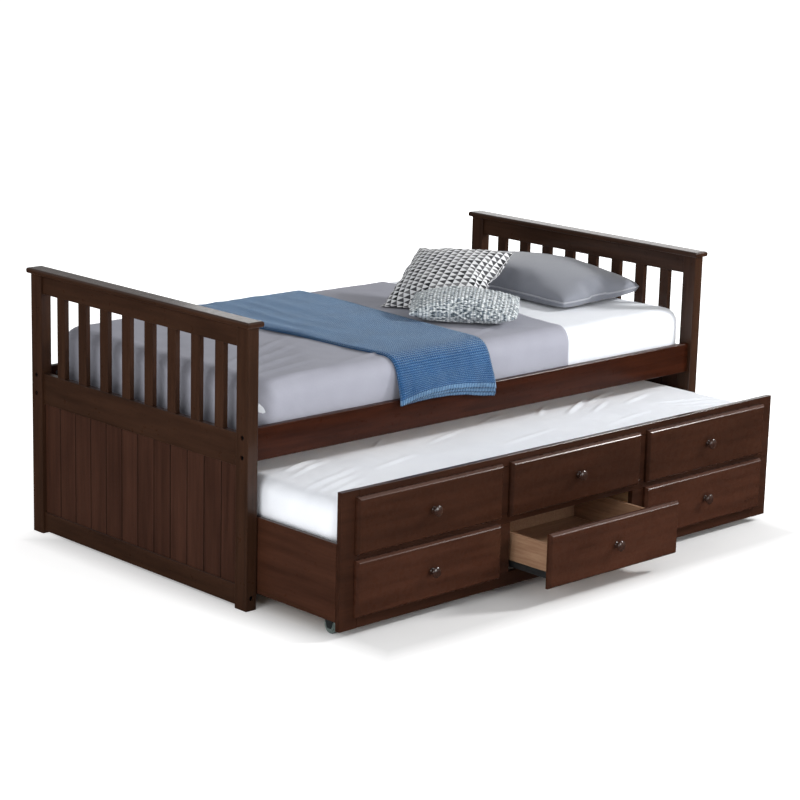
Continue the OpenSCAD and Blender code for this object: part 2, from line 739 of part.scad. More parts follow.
footboard_front_post();
footboard_rear_post();
headboard_front_post();
headboard_rear_post();
footboard_cap();
headboard_cap();
footboard_top_rail();
headboard_top_rail();
footboard_spindles();
headboard_spindles();
footboard_middle_rail();
headboard_middle_rail();
footboard_panel();
headboard_panel();
footboard_bottom_rail();
headboard_bottom_rail();
front_side_rail();
rear_side_rail();
slat_ledgers();
bed_slats();
frame_bolts();
barrel_nuts();
bed_mattress();
coverlet();
throw();
pillow();
triangle_cushion();
knit_cushion();
trundle_face_frame();
false_front_left();
false_front_middle();
false_front_right();
false_front_knobs();
trundle_end_panels();
trundle_back_panel();
drawer_partitions();
trundle_ledgers();
trundle_slats();
cabinet_runners();
caster_brackets();
trundle_mattress();
wheel_foot_front();
wheel_foot_rear();
wheel_head_front();
wheel_head_rear();
drawer_left_front();
drawer_left_knob();
drawer_left_box();
drawer_left_bottom();
drawer_left_runners();
drawer_middle_front();
drawer_middle_knob();
drawer_middle_box();
drawer_middle_bottom();
drawer_middle_runners();
drawer_right_front();
drawer_right_knob();
drawer_right_box();
drawer_right_bottom();
drawer_right_runners();
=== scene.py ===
"""Looks of the captain's bed and its roll-out trundle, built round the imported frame."""
import math

import bpy
import numpy as np
from mathutils import Euler, Matrix, Vector, noise
from mathutils.bvhtree import BVHTree


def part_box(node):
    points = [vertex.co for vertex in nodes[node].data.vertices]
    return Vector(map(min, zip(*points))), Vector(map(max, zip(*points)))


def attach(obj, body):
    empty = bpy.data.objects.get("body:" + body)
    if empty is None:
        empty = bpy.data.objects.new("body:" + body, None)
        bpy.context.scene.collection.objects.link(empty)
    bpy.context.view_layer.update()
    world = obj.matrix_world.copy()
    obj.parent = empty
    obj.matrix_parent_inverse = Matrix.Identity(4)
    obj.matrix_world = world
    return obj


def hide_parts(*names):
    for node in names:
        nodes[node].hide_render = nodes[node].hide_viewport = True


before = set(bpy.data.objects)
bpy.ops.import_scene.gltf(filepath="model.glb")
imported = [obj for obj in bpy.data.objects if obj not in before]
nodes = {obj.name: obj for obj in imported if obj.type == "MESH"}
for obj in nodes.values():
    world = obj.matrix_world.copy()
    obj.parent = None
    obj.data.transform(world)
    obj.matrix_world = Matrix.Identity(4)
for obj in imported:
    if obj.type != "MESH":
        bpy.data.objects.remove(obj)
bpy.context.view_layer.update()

MM = 0.001

# The foot end's front corner on the floor; bed sizes are in millimetres from it
BED_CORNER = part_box("footboard_front_post")[0]


def at(x, y, z):
    """A point of the bed, in millimetres from its front corner at the foot end."""
    return Vector((BED_CORNER.x + x * MM, BED_CORNER.y + y * MM, z * MM))


# ---------------------------------------------------------------- node trees

class Wire:
    """An output socket that sums and products can be written with."""

    def __init__(self, graph, socket):
        self.graph, self.socket = graph, socket

    def _with(self, operation, *values):
        return self.graph.math(operation, *values)

    def __add__(self, other):
        return self._with("ADD", self, other)

    def __sub__(self, other):
        return self._with("SUBTRACT", self, other)

    def __mul__(self, other):
        return self._with("MULTIPLY", self, other)

    def __truediv__(self, other):
        return self._with("DIVIDE", self, other)

    def __rsub__(self, other):
        return self._with("SUBTRACT", other, self)

    __radd__ = __add__
    __rmul__ = __mul__


class Graph:
    """A node tree, for a material or for geometry."""

    def __init__(self, tree, math_kind="ShaderNodeMath"):
        self.tree, self.math_kind = tree, math_kind

    def node(self, kind, settings=None, inputs=None, out=0):
        """Adds a node, makes its settings, then sets or links its sockets."""
        made = self.tree.nodes.new(kind)
        for key, value in (settings or {}).items():
            setattr(made, key, value)
        for key, value in (inputs or {}).items():
            if isinstance(value, Wire):
                self.tree.links.new(value.socket, made.inputs[key])
            else:
                made.inputs[key].default_value = value
        return Wire(self, made.outputs[out])

    def math(self, operation, *values):
        return self.node(self.math_kind, {"operation": operation}, dict(enumerate(values)))


class Paint(Graph):
    """A material: one Principled shader, its constants set on it and its patterns linked to it."""

    def __init__(self, name, **constants):
        self.material = bpy.data.materials.new(name)
        self.material.use_nodes = True
        super().__init__(self.material.node_tree)
        self.shader = self.tree.nodes["Principled BSDF"]
        for key, value in constants.items():
            self.shader.inputs[key.replace("_", " ")].default_value = value
        self.place = self.node("ShaderNodeTexCoord", out="Object")

    def stretched(self, scale, source=None):
        """The place on the piece, scaled along each axis."""
        return self.node("ShaderNodeMapping", inputs={
            "Vector": source or self.place, "Scale": scale})

    def cloth(self, scale=(1, 1, 1)):
        """The flat place on the piece's cloth, in metres, from its UV map."""
        return self.stretched(scale, self.node("ShaderNodeUVMap", {"uv_map": "flat"}))

    def noise(self, vector, scale=1.0, detail=3.0, rough=0.55):
        return self.node("ShaderNodeTexNoise", inputs={
            "Vector": vector, "Scale": scale, "Detail": detail, "Roughness": rough})

    def parts(self, vector):
        """The X and Y parts of a vector."""
        split = self.tree.nodes.new("ShaderNodeSeparateXYZ")
        self.tree.links.new(vector.socket, split.inputs[0])
        return Wire(self, split.outputs[0]), Wire(self, split.outputs[1])

    def band(self, value, low, high, to_low=0.0, to_high=1.0):
        """Maps low..high to to_low..to_high and holds it there outside."""
        return self.node("ShaderNodeMapRange", inputs={
            "Value": value, "From Min": low, "From Max": high, "To Min": to_low, "To Max": to_high})

    def mix(self, amount, first, second):
        made = self.tree.nodes.new("ShaderNodeMix")
        made.data_type = "RGBA"
        for socket, value in zip((made.inputs[0], made.inputs[6], made.inputs[7]),
                                 (amount, first, second)):
            if isinstance(value, Wire):
                self.tree.links.new(value.socket, socket)
            else:
                socket.default_value = value
        return Wire(self, made.outputs[2])

    def finish(self, colour, roughness=None, height=None, depth=0.001, strength=1.0, **others):
        """Links the patterns to the shader; height is 0 to 1 and depth is in metres."""
        links = {"Base Color": colour, "Roughness": roughness}
        links.update({key.replace("_", " "): value for key, value in others.items()})
        if height is not None:
            links["Normal"] = self.node("ShaderNodeBump", inputs={
                "Height": height, "Distance": depth, "Strength": strength})
        for key, value in links.items():
            if isinstance(value, Wire):
                self.tree.links.new(value.socket, self.shader.inputs[key])
            elif value is not None:
                self.shader.inputs[key].default_value = value
        return self.material


def darker(colour, share):
    """A colour with its brightness cut to a share."""
    return tuple(c * share for c in colour[:3]) + (1.0,)


def rgb(red, green, blue):
    """A colour given as 0 to 255 steps of display brightness."""
    linear = [(c / 255 / 12.92) if c < 11 else ((c / 255 + 0.055) / 1.055) ** 2.4
              for c in (red, green, blue)]
    return (*linear, 1.0)


# ---------------------------------------------------------------- finishes

ALONG = {"x": (1.0, 14.0, 14.0), "y": (14.0, 1.0, 14.0), "z": (14.0, 14.0, 1.0)}


def stained_wood(name, grain, dark, light, sheen_rough=0.34, boards=None, coat=0.5, painted_highlight=0.0):
    """Dark stained wood under satin lacquer, its grain along one axis."""
    paint = Paint(name, Specular_IOR_Level=0.04, Coat_Weight=coat, Coat_Roughness=0.17)
    along = ALONG[grain]
    warp = paint.noise(paint.place, 4.0, 2.0)
    figure = paint.noise(paint.stretched(along), 2.6, 5.0, 0.6) + (warp - 0.5) * 0.25
    pores = paint.noise(paint.stretched([a * 2.2 for a in along]), 26.0, 2.0, 0.5)
    pore_mask = paint.band(pores, 0.56, 0.70)
    tone = paint.band(figure, 0.22, 0.80)
    groove = 0.0
    if boards:
        across = (paint.parts(paint.place)[1] - boards[0]) / boards[1]
        board = paint.math("FLOOR", across)
        joint = paint.math("ABSOLUTE", paint.math("FRACT", across + 0.5) - 0.5) * boards[1]
        groove = paint.band(joint, 0.0026, 0.0012)
        shade = paint.node("ShaderNodeTexWhiteNoise", {"noise_dimensions": "1D"}, {"W": board})
        tone = paint.band(tone * 0.8 + shade * 0.22, 0.05, 1.0)
    colour = paint.mix(tone, dark, light)
    colour = paint.mix(pore_mask * 0.3 + groove * 0.75, colour, darker(dark, 0.4))
    # painted highlight: on the fronts, a lighter brown is mixed in where the surface turns partly
    # upwards, on the rounded top edges, mottled by noise, standing in for the key light's reflection
    if painted_highlight:
        edge = paint.node("ShaderNodeSeparateXYZ", inputs={
            "Vector": paint.node("ShaderNodeNewGeometry", out=1)}, out=2)
        highlight_band = paint.band(edge, 0.2, 0.6) * paint.band(edge, 0.995, 0.95)
        highlight_amount = highlight_band * paint.band(warp, 0.2, 0.7, 0.3, 1.0) * painted_highlight
        colour = paint.mix(highlight_amount, colour, rgb(128, 100, 90))
    handled = paint.noise(paint.place, 38.0, 4.0, 0.7)
    rough = paint.band(handled, 0.35, 0.7, sheen_rough - 0.07, sheen_rough + 0.09) + pore_mask * 0.08
    return paint.finish(colour, rough, (1 - pore_mask) * 0.6 + figure * 0.4, 0.0004, 0.55)


def bare_wood(name, grain, dark, light):
    """Pale sanded wood with fine growth lines."""
    paint = Paint(name)
    along = ALONG[grain]
    bend = paint.noise(paint.stretched([a * 0.4 for a in along]), 3.0, 2.0)
    lines = paint.noise(paint.stretched([a * 1.5 for a in along]), 7.0, 6.0, 0.62) + bend * 0.3
    fleck = paint.noise(paint.stretched([a * 1.4 for a in along]), 45.0, 1.5)
    colour = paint.mix(paint.band(lines, 0.45, 0.8), light, dark)
    colour = paint.mix(paint.band(fleck, 0.6, 0.72) * 0.35, colour, darker(dark, 0.6))
    return paint.finish(colour, paint.band(fleck, 0.3, 0.7, 0.5, 0.66), lines, 0.0005, 0.4)


def metal(name, colour, rough, streak=(30.0, 30.0, 30.0)):
    """Plated steel: rubbed streaks and faint cloudy patches."""
    paint = Paint(name, Metallic=1.0)
    rub = paint.noise(paint.stretched(streak), 12.0, 4.0, 0.6)
    cloud = paint.noise(paint.place, 55.0, 3.0)
    tint = paint.mix(paint.band(cloud, 0.4, 0.72) * 0.25, colour, darker(colour, 0.62))
    return paint.finish(tint, paint.band(rub, 0.3, 0.7, rough - 0.09, rough + 0.12), rub, 0.0001, 0.5)


def plain_weave(paint, pitch):
    """Over-and-under threads, as a height from 0 to 1."""
    across, along = paint.parts(paint.cloth((math.pi / pitch, math.pi / pitch, 1)))
    warp = paint.math("ABSOLUTE", paint.math("SINE", across))
    weft = paint.math("ABSOLUTE", paint.math("SINE", along))
    over = paint.math("SINE", across + math.pi / 2) * paint.math("SINE", along + math.pi / 2)
    return warp * weft * 0.6 + paint.band(over, -1, 1, 0, 0.4)


def cotton(name, colour, shade, pitch=0.0011, sheen=0.25, rough=0.86):
    """Woven cotton: fine threads, slubs and slight cloudiness."""
    paint = Paint(name, Sheen_Weight=sheen, Sheen_Roughness=0.45, Specular_IOR_Level=0.25)
    weave = plain_weave(paint, pitch)
    thread = paint.noise(paint.cloth((1, 9, 1)), 160.0, 2.0)
    cross = paint.noise(paint.cloth((9, 1, 1)), 160.0, 2.0)
    cloud = paint.noise(paint.place, 7.0, 3.0)
    tone = paint.band(thread * 0.5 + cross * 0.5, 0.38, 0.62) * 0.5 + paint.band(cloud, 0.3, 0.7) * 0.4
    tint = paint.mix(tone * 0.8, colour, shade)
    return paint.finish(tint, rough, weave * 0.7 + (thread + cross) * 0.3, 0.00035, 0.35)


def knit_stitches(paint, wale, course):
    """Rows of V stitches: height from 0 to 1."""
    across, along = paint.parts(paint.cloth((1 / wale, 1 / course, 1)))
    side = paint.math("ABSOLUTE", paint.math("FRACT", across) - 0.5) * 2
    leg = paint.math("SINE", (along + side * 0.35) * math.tau) * 0.5 + 0.5
    groove = paint.math("SINE", side * math.pi) * 0.5 + 0.5
    return paint.math("POWER", leg, 0.7) * paint.band(groove, 0.4, 1.0, 0.45, 1.0)


def blue_knit(rib_from, rib_to):
    """Heathered blue throw knit, with a ribbed band near each end."""
    paint = Paint("blue_knit_wool", Sheen_Weight=1.0, Sheen_Roughness=0.27,
                  Sheen_Tint=rgb(196, 216, 232), Specular_IOR_Level=0.1)
    height = knit_stitches(paint, 0.0100, 0.0074)
    across, along = paint.parts(paint.cloth())
    rib = paint.math("SINE", across * (math.tau / 0.0075)) * 0.5 + 0.5
    front = paint.math("LESS_THAN", along, rib_from)
    rear = paint.math("GREATER_THAN", along, rib_to)
    band = paint.math("MAXIMUM", front, rear)
    height = height * (1 - band) + rib * band
    fleck = paint.noise(paint.cloth((1, 0.35, 1)), 420.0, 2.0)
    cloud = paint.noise(paint.cloth(), 9.0, 3.0)
    deep, mid, pale = rgb(17, 46, 84), rgb(58, 106, 158), rgb(142, 184, 220)
    # painted shade and highlight: the stitches' low parts take the deep blue and their crowns the mid
    # blue
    colour = paint.mix(paint.band(height, 0.1, 0.8, 0.3, 1.0), deep, mid)
    # the flecks are the yarn's own pale heather; the rib band is paler overall as the yarn's own colour,
    # and its rib crowns paler still as a painted highlight
    colour = paint.mix(paint.band(fleck, 0.54, 0.68) * 0.4 + band * (rib * 0.3 + 0.2), colour, pale)
    # painted shadow: a dark line along each cut end of the cloth, where the folded layers' hems lie over
    # one another; the cloudy darkening is the yarn's own
    painted_hem_shadow = paint.math("MAXIMUM", paint.band(along, 0.0028, 0.0018),
                          paint.band(along, rib_to + rib_from - 0.0028, rib_to + rib_from - 0.0018))
    colour = paint.mix(paint.band(cloud, 0.4, 0.7) * 0.35 + painted_hem_shadow * 0.8, colour, deep)
    return paint.finish(colour, 0.92, height + fleck * 0.2, 0.003, 1.0)


def chunky_knit(rib):
    """Mottled blue-grey yarn in short pale dashes, on ribs that run from edge to edge."""
    paint = Paint("grey_green_knit_wool", Sheen_Weight=0.3, Sheen_Roughness=0.5,
                  Specular_IOR_Level=0.12)
    across, along = paint.parts(paint.cloth())
    crown = paint.math("ABSOLUTE", paint.math("SINE", along * (math.pi / rib)))
    loops = paint.math("SINE", across * (math.tau / 0.0072) + paint.math("FLOOR", along / rib) * 2.1)
    stitch = crown * (loops * 0.35 + 0.65)
    dashes = paint.noise(paint.cloth((230, 62, 1)), 1.0, 1.0, 0.4)
    streak = paint.noise(paint.cloth((16, 78, 1)), 1.0, 3.0, 0.6)
    colour = paint.mix(paint.band(streak, 0.40, 0.60), rgb(122, 134, 143), rgb(196, 204, 208))
    colour = paint.mix(paint.band(dashes, 0.52, 0.58), colour, rgb(236, 240, 241))
    colour = paint.mix(paint.band(dashes, 0.43, 0.37), colour, rgb(62, 74, 82))
    # painted shade: darker in the hollows between the ribs
    colour = paint.mix(paint.band(crown, 0.45, 0.0) * 0.5, colour, rgb(70, 82, 88))
    return paint.finish(colour, 0.94, stitch + dashes * 0.3, 0.003, 0.9)


def triangle_print(columns, rows, width):
    """Printed cotton: rows of small triangles in greys and black on white."""
    paint = Paint("triangle_print_cotton", Sheen_Weight=0.2, Specular_IOR_Level=0.25)
    cell_x, cell_y = width / columns, width / rows
    across, along = paint.parts(paint.cloth((1 / cell_x, 1 / cell_y, 1)))
    row = paint.math("FLOOR", along)
    shifted = across + row * 0.5
    column = paint.math("FLOOR", shifted)
    lean = paint.math("ABSOLUTE", paint.math("FRACT", shifted) - 0.5) * 2
    rise = paint.math("FRACT", along)
    inside = paint.band(1.06 - rise - lean, -0.02, 0.04) * paint.band(rise, 0.02, 0.06)
    ink = paint.node("ShaderNodeTexWhiteNoise", {"noise_dimensions": "2D"}, {
        "Vector": paint.node("ShaderNodeCombineXYZ", inputs={"X": column, "Y": row})})
    hatch = paint.math("SINE", (rise * 2 + across) * (math.tau * 3)) * 0.5 + 0.5
    hatched = paint.math("LESS_THAN", ink, 0.35) * paint.band(hatch, 0.4, 0.6)
    grey = paint.mix(paint.band(ink, 0.35, 1.0), rgb(16, 17, 20), rgb(84, 85, 89))
    mark = inside * (1 - hatched * 0.4)
    colour = paint.mix(mark, rgb(230, 231, 233), grey)
    return paint.finish(colour, 0.88, plain_weave(paint, 0.0016), 0.0004, 0.4)


espresso = rgb(38, 23, 15), rgb(62, 40, 28)
russet = rgb(32, 11, 4), rgb(64, 30, 16)
front_tone = rgb(40, 22, 14), rgb(60, 35, 24)
panel_low, panel_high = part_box("footboard_panel")
BOARD_COUNT = 12
board_pitch = (panel_high.y - panel_low.y) / BOARD_COUNT

finishes = {
    "espresso_y": stained_wood("espresso_lacquer_y", "y", *espresso),
    "espresso_z": stained_wood("espresso_lacquer_z", "z", *espresso),
    "russet_x": stained_wood("russet_lacquer_x", "x", *russet, coat=0.2),
    "boards": stained_wood("russet_boards", "z", rgb(42, 24, 17), rgb(72, 45, 34), 0.4,
                           (panel_low.y, board_pitch)),
    "front": stained_wood("front_lacquer", "x", *front_tone, 0.28, coat=0.35, painted_highlight=0.3),
    # painted light: the lower fronts get a lighter copy of the front lacquer, for the extra light they
    # catch from the floor
    "lower_front": stained_wood("lower_front_lacquer", "x", rgb(46, 25, 16), rgb(70, 41, 29), 0.28,
                                coat=0.6, painted_highlight=0.22),
    "carcass_x": stained_wood("carcass_lacquer_x", "x", *front_tone),
    # painted light: the trundle's end panels, which face the foot light, get a lighter tone than the
    # face frame
    "carcass_y": stained_wood("carcass_lacquer_y", "y", rgb(46, 26, 17), rgb(70, 42, 30)),
    "knob": stained_wood("knob_lacquer", "y", rgb(34, 21, 16), rgb(64, 42, 34), 0.16, coat=1.0),
    "pine_x": bare_wood("pine_x", "x", rgb(196, 150, 104), rgb(226, 192, 150)),
    "pine_y": bare_wood("pine_y", "y", rgb(196, 150, 104), rgb(226, 192, 150)),
    "birch": bare_wood("birch", "y", rgb(140, 104, 79), rgb(164, 130, 102)),
    "birch_x": bare_wood("birch_x", "x", rgb(140, 104, 79), rgb(164, 130, 102)),
    "zinc": metal("zinc_plate", rgb(120, 124, 126), 0.42, (30.0, 3.0, 30.0)),
    "black": metal("black_oxide", rgb(40, 40, 43), 0.46),
}

nylon = Paint("wheel_nylon", Specular_IOR_Level=0.4)
grit = nylon.noise(nylon.place, 900.0, 3.0)
scuff = nylon.noise(nylon.place, 60.0, 4.0)
finishes["nylon"] = nylon.finish(
    nylon.mix(nylon.band(scuff, 0.45, 0.7) * 0.5, rgb(86, 98, 95), rgb(132, 140, 136)),
    nylon.band(grit, 0.3, 0.7, 0.42, 0.6), grit, 0.0002, 0.5)

NODE_FINISH = {
    "espresso_z": ["footboard_front_post", "footboard_rear_post", "headboard_front_post",
                   "headboard_rear_post", "footboard_spindles", "headboard_spindles"],
    "espresso_y": ["footboard_cap", "headboard_cap", "footboard_top_rail", "headboard_top_rail",
                   "footboard_middle_rail", "headboard_middle_rail", "footboard_bottom_rail",
                   "headboard_bottom_rail"],
    "carcass_x": ["trundle_face_frame", "trundle_back_panel"],
    "carcass_y": ["trundle_end_panels"],
    "russet_x": ["front_side_rail", "rear_side_rail"],
    "boards": ["footboard_panel", "headboard_panel"],
    "front": ["false_front_left", "false_front_middle", "false_front_right"],
    "lower_front": ["drawer_left_front", "drawer_middle_front", "drawer_right_front"],
    "knob": ["false_front_knobs", "drawer_left_knob", "drawer_middle_knob", "drawer_right_knob"],
    "pine_x": ["slat_ledgers", "trundle_ledgers"],
    "pine_y": ["bed_slats", "trundle_slats", "drawer_partitions"],
    "birch": ["drawer_left_box", "drawer_middle_box", "drawer_right_box"],
    "birch_x": ["drawer_left_bottom", "drawer_middle_bottom", "drawer_right_bottom"],
    "zinc": ["barrel_nuts", "caster_brackets", "cabinet_runners", "drawer_left_runners",
             "drawer_middle_runners", "drawer_right_runners"],
    "black": ["frame_bolts"],
    "nylon": ["wheel_foot_front", "wheel_foot_rear", "wheel_head_front", "wheel_head_rear"],
}
for finish_name, members in NODE_FINISH.items():
    for member in members:
        for holder in nodes[member].material_slots:
            holder.material = finishes[finish_name]


# ---------------------------------------------------------------- meshes

def new_piece(name, points, faces, material, flat=None, smooth=True):
    """A mesh object from points and faces; flat gives each face corner's place on the cloth."""
    mesh = bpy.data.meshes.new(name)
    mesh.from_pydata([tuple(p) for p in points], [], [tuple(f) for f in faces])
    if flat is not None:
        layer = mesh.uv_layers.new(name="flat")
        layer.data.foreach_set("uv", np.asarray(flat, np.float32).ravel())
    mesh.materials.append(material)
    if smooth:
        mesh.shade_smooth()
    made = bpy.data.objects.new(name, mesh)
    bpy.context.scene.collection.objects.link(made)
    return made


def baked(made):
    """Applies a piece's modifiers to its mesh."""
    evaluated = made.evaluated_get(bpy.context.evaluated_depsgraph_get())
    mesh = bpy.data.meshes.new_from_object(evaluated)
    made.modifiers.clear()
    made.data = mesh
    return made


def points_of(made):
    found = np.empty(len(made.data.vertices) * 3)
    made.data.vertices.foreach_get("co", found)
    return found.reshape(-1, 3)


def normals_of(made):
    found = np.empty(len(made.data.vertices) * 3, np.float32)
    made.data.vertices.foreach_get("normal", found)
    return found.reshape(-1, 3).astype(float)


def put_points(made, points):
    made.data.vertices.foreach_set("co", np.asarray(points, np.float32).ravel())
    made.data.update()


def drift(points, scale, seed):
    """Smooth noise, about -1 to 1, at each point; scale may differ along each axis."""
    shift = Vector((seed * 7.31, seed * 3.17, seed * 1.93))
    scale = Vector(scale) if hasattr(scale, "__len__") else Vector((scale,) * 3)
    return np.array([noise.noise(Vector((p[0] * scale.x, p[1] * scale.y, p[2] * scale.z)) + shift)
                     for p in points])


def box_grid(low, high, step, sides):
    """Some sides of a box as one welded grid: its points, its faces and their flat places.
    A side is an axis and an end, such as (2, 1) for the top."""
    low, high = np.array(low, float), np.array(high, float)
    count = np.maximum(1, np.round((high - low) / step).astype(int))
    size = count + 1
    faces, keys = [], []
    for axis, end in sides:
        b, c = (axis + 1) % 3, (axis + 2) % 3
        j, k = np.meshgrid(np.arange(count[b]), np.arange(count[c]), indexing="ij")
        corners = []
        for dj, dk in ((0, 0), (1, 0), (1, 1), (0, 1)):
            index = np.zeros((3,) + j.shape, int)
            index[axis], index[b], index[c] = end * count[axis], j + dj, k + dk
            corners.append((index[0] * size[1] + index[1]) * size[2] + index[2])
        if not end:
            corners.reverse()
        faces.append(np.stack([c.ravel() for c in corners], axis=1))
        keys.append(np.full(len(faces[-1]), axis))
    faces, keys = np.concatenate(faces), np.concatenate(keys)
    used, places = np.unique(faces, return_inverse=True)
    faces = places.reshape(faces.shape)
    index = np.stack([used // (size[1] * size[2]), used // size[2] % size[1], used % size[2]], axis=1)
    points = low + index * (high - low) / count
    corner = points[faces]
    flat = np.where((keys == 2)[:, None, None], corner[:, :, [0, 1]],
                    np.where((keys == 1)[:, None, None], corner[:, :, [0, 2]], corner[:, :, [2, 1]]))
    return points, faces, flat.reshape(-1, 2)


def rounded(points, low, high, corner, edge):
    """Rounds a box's points: upright corners by corner, other edges by edge.
    Gives each point's outward direction too."""
    low, high = np.array(low, float), np.array(high, float)
    middle, half = (low + high) / 2, (high - low) / 2
    place = points - middle
    inner = half[:2] - corner
    plan = np.clip(place[:, :2], -inner, inner)
    away = place[:, :2] - plan
    reach = np.linalg.norm(away, axis=1, keepdims=True)
    away *= np.minimum(1, (corner - edge) / np.maximum(reach, 1e-9))
    core = np.column_stack([plan + away, np.clip(place[:, 2], edge - half[2], half[2] - edge)])
    out = place - core
    out /= np.maximum(np.linalg.norm(out, axis=1, keepdims=True), 1e-9)
    return middle + core + out * edge, out


def creases(points, lines):
    """Heights of soft folds in plan: each line is (x1, y1, x2, y2, half width, height)."""
    total = np.zeros(len(points))
    for x1, y1, x2, y2, width, height in lines:
        run = np.array([x2 - x1, y2 - y1])
        place = points[:, :2] - (x1, y1)
        along = place @ run / (run @ run)
        side = (place[:, 0] * run[1] - place[:, 1] * run[0]) / np.linalg.norm(run) / width
        taper = np.clip(4 * along * (1 - along), 0, 1)
        total += height * taper * (1 - side ** 2) * np.exp(-side ** 2)
    return total


def smooth_step(values, low, high):
    t = np.clip((values - low) / (high - low), 0, 1)
    return t * t * (3 - 2 * t)


# ---------------------------------------------------------------- repeated details

def geometry_tree(name, sizes):
    """A Geometry Nodes tree with a geometry input and output and named sizes."""
    tree = bpy.data.node_groups.new(name, "GeometryNodeTree")
    tree.interface.new_socket("Geometry", in_out="INPUT", socket_type="NodeSocketGeometry")
    tree.interface.new_socket("Geometry", in_out="OUTPUT", socket_type="NodeSocketGeometry")
    for label, value in sizes.items():
        socket = tree.interface.new_socket(label, in_out="INPUT", socket_type="NodeSocketFloat")
        socket.default_value = value
    graph = Graph(tree)
    source = tree.nodes.new("NodeGroupInput")
    return graph, {s.name: Wire(graph, s) for s in source.outputs if s.name}


def grown(name, points, tree_maker, material, sizes, edges=()):
    """Runs a Geometry Nodes tree on bare points and edges, and keeps the plain mesh."""
    mesh = bpy.data.meshes.new(name)
    mesh.from_pydata([tuple(p) for p in points], list(edges), [])
    made = bpy.data.objects.new(name, mesh)
    bpy.context.scene.collection.objects.link(made)
    graph, given = geometry_tree(name + "_tree", sizes)
    shape = tree_maker(graph, given)
    solid = graph.node("GeometryNodeRealizeInstances", inputs={"Geometry": shape})
    coated = graph.node("GeometryNodeSetMaterial", inputs={"Geometry": solid, "Material": material})
    end = graph.tree.nodes.new("NodeGroupOutput")
    graph.tree.links.new(coated.socket, end.inputs[0])
    modifier = made.modifiers.new("grow", "NODES")
    modifier.node_group = graph.tree
    for item in graph.tree.interface.items_tree:
        if item.in_out == "INPUT" and item.name in sizes:
            modifier[item.identifier] = float(sizes[item.name])
    return baked(made)


def screw_heads(graph, given):
    """Domed screw heads with a driver recess, one at each point."""
    dome = graph.node("GeometryNodeMeshCone", inputs={
        "Vertices": 14, "Radius Top": given["Radius"] * 0.55, "Radius Bottom": given["Radius"],
        "Depth": given["Height"]}, out="Mesh")
    slot = graph.node("GeometryNodeMeshCube", inputs={"Size": graph.node(
        "ShaderNodeCombineXYZ", inputs={"X": given["Radius"], "Y": given["Radius"] * 0.2,
                                        "Z": given["Height"] * 0.4})}, out="Mesh")
    lifted = graph.node("GeometryNodeTransform", inputs={
        "Geometry": slot, "Translation": graph.node("ShaderNodeCombineXYZ", inputs={
            "Z": given["Height"]})})
    turned = graph.node("GeometryNodeTransform", inputs={
        "Geometry": lifted, "Rotation": (0, 0, math.pi / 2)})
    head = graph.tree.nodes.new("GeometryNodeJoinGeometry")
    for part in (dome, lifted, turned):
        graph.tree.links.new(part.socket, head.inputs[0])
    return graph.node("GeometryNodeInstanceOnPoints", inputs={
        "Points": given["Geometry"], "Instance": Wire(graph, head.outputs[0])})


def tube_along(graph, given):
    """A round cord along the given edges."""
    line = graph.node("GeometryNodeMeshToCurve", inputs={"Mesh": given["Geometry"]})
    ring = graph.node("GeometryNodeCurvePrimitiveCircle", inputs={
        "Resolution": 8, "Radius": given["Radius"]})
    return graph.node("GeometryNodeCurveToMesh", inputs={"Curve": line, "Profile Curve": ring})


def stitches_along(graph, given):
    """Short thread stitches, evenly spaced along the given edges."""
    line = graph.node("GeometryNodeMeshToCurve", inputs={"Mesh": given["Geometry"]})
    marks = graph.tree.nodes.new("GeometryNodeCurveToPoints")
    marks.mode = "LENGTH"
    graph.tree.links.new(line.socket, marks.inputs["Curve"])
    graph.tree.links.new(given["Pitch"].socket, marks.inputs["Length"])
    thread = graph.node("GeometryNodeMeshUVSphere", inputs={
        "Segments": 6, "Rings": 5, "Radius": given["Radius"]}, out="Mesh")
    long = graph.node("GeometryNodeTransform", inputs={
        "Geometry": thread, "Scale": (1.0, 1.0, 4.0)})
    return graph.node("GeometryNodeInstanceOnPoints", inputs={
        "Points": Wire(graph, marks.outputs["Points"]), "Instance": long,
        "Rotation": Wire(graph, marks.outputs["Rotation"])})


# ---------------------------------------------------------------- mattresses

white = cotton("white_sheet_cotton", rgb(238, 241, 246), rgb(222, 226, 234))
SIDES_OF_BOX = [(0, 0), (0, 1), (1, 0), (1, 1), (2, 0), (2, 1)]
COVERLET_STEP = 0.010


def bed_relief(points):
    """How the bed's mattress and what lies on it rise and dip."""
    return 0.0035 * drift(points, (2.2, 2.6, 0.0), 3)


def mattress(name, node, step, corner, edge, relief, lines, seed):
    """A mattress in its fitted sheet, crowned and softly creased."""
    low, high = (np.array(v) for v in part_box(node))
    points, faces, flat = box_grid(low, high, step, SIDES_OF_BOX)
    points, out = rounded(points, low, high, corner, edge)
    side = 1 - np.abs(out[:, 2])
    upper = smooth_step(points[:, 2], low[2], high[2] - 0.01)
    swell = 0.004 * side * np.sin(np.pi * np.clip((points[:, 2] - low[2]) / (high[2] - low[2]), 0, 1))
    wander = drift(points, (7, 7, 3), seed) * 0.0026 + drift(points, (26, 26, 10), seed + 1) * 0.0012
    pull = drift(points, (34, 34, 2.5), seed + 2) * side * 0.0022
    rise = swell + (wander + pull) * upper + creases(points, lines) * np.clip(out[:, 2], 0, 1)
    points = points + out * rise[:, None]
    points[:, 2] += relief(points) * upper
    made = new_piece(name, points, faces, white, flat)
    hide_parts(node)
    return made


bed_pad = mattress("bed_mattress_sheeted", "bed_mattress", 0.015, 0.046, 0.044, bed_relief, [], 11)
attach(bed_pad, "bed")

